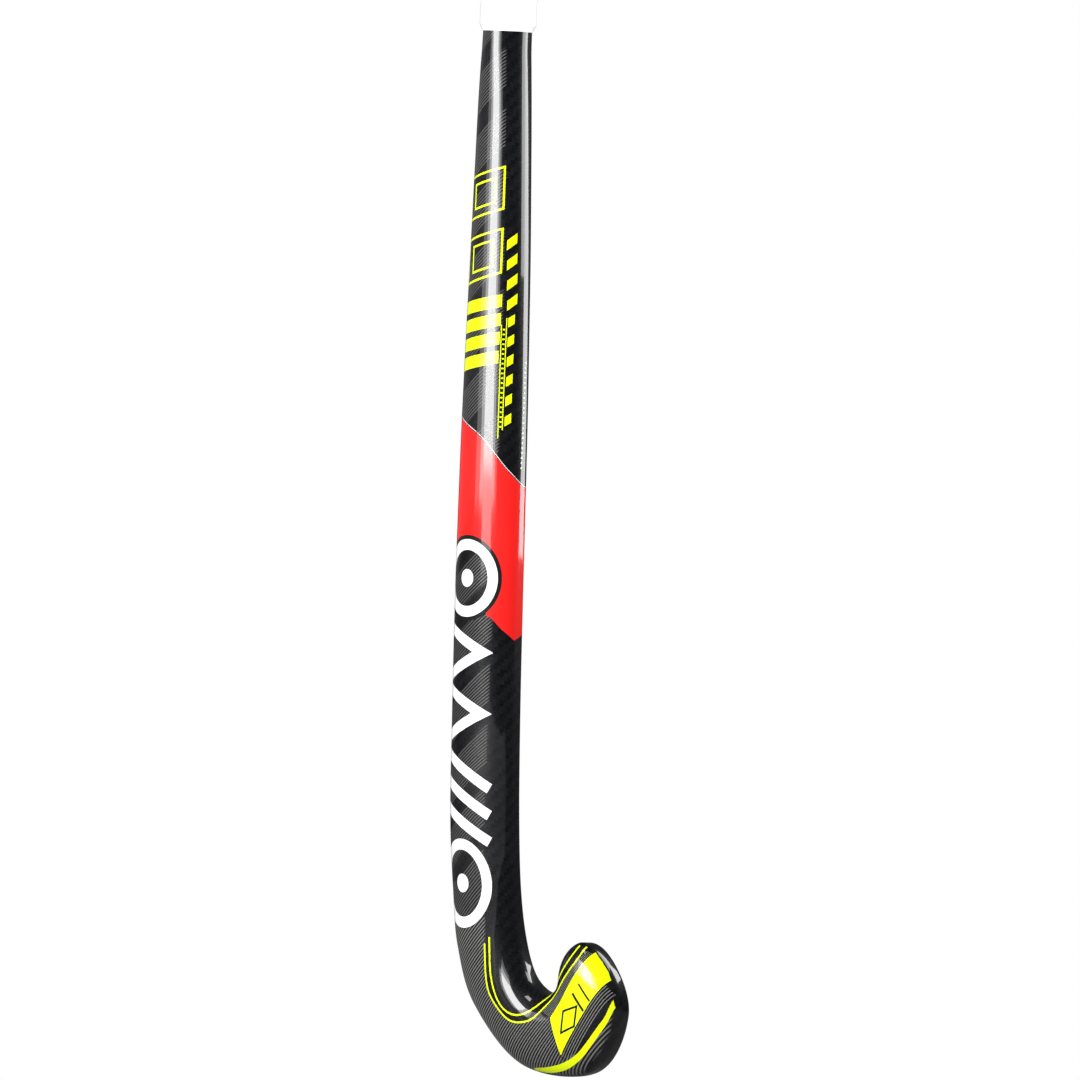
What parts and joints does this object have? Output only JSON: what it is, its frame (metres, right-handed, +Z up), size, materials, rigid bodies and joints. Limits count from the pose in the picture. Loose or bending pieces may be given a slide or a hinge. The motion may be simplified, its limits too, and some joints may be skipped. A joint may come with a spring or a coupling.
{
  "type": "field hockey stick",
  "caption": "Composite field hockey stick with a bowed D-section shaft, a J-shaped hook head and a wrapped round grip.",
  "frame": {"origin": "on the handle axis, at the middle of the wrapped grip", "axes": "+Z up the handle towards the butt, +X towards the side that the toe points to, +Y out of the flat playing face"},
  "size_m": [0.1311, 0.0517, 0.9271],
  "materials": {
    "laminate": "clear-coated woven carbon with coloured film transfers",
    "inner_laminate": "bare moulded laminate",
    "core_foam": "closed-cell foam and resin",
    "cap_rubber": "moulded matt rubber",
    "base_tape": "thin adhesive tape",
    "grip_cushion": "soft perforated polyurethane",
    "band_tape": "smooth vinyl tape"
  },
  "bodies": {
    "root": {"stick_shell": "laminate", "core_tube_toe_side": "inner_laminate", "core_tube_heel_side": "inner_laminate", "centre_web": "inner_laminate", "head_core": "core_foam", "face_ply": "inner_laminate", "handle_plug": "core_foam", "butt_cap": "cap_rubber", "grip_base_tape": "base_tape", "grip_tape": "grip_cushion", "finishing_tape": "band_tape"}
  },
  "joints": []
}
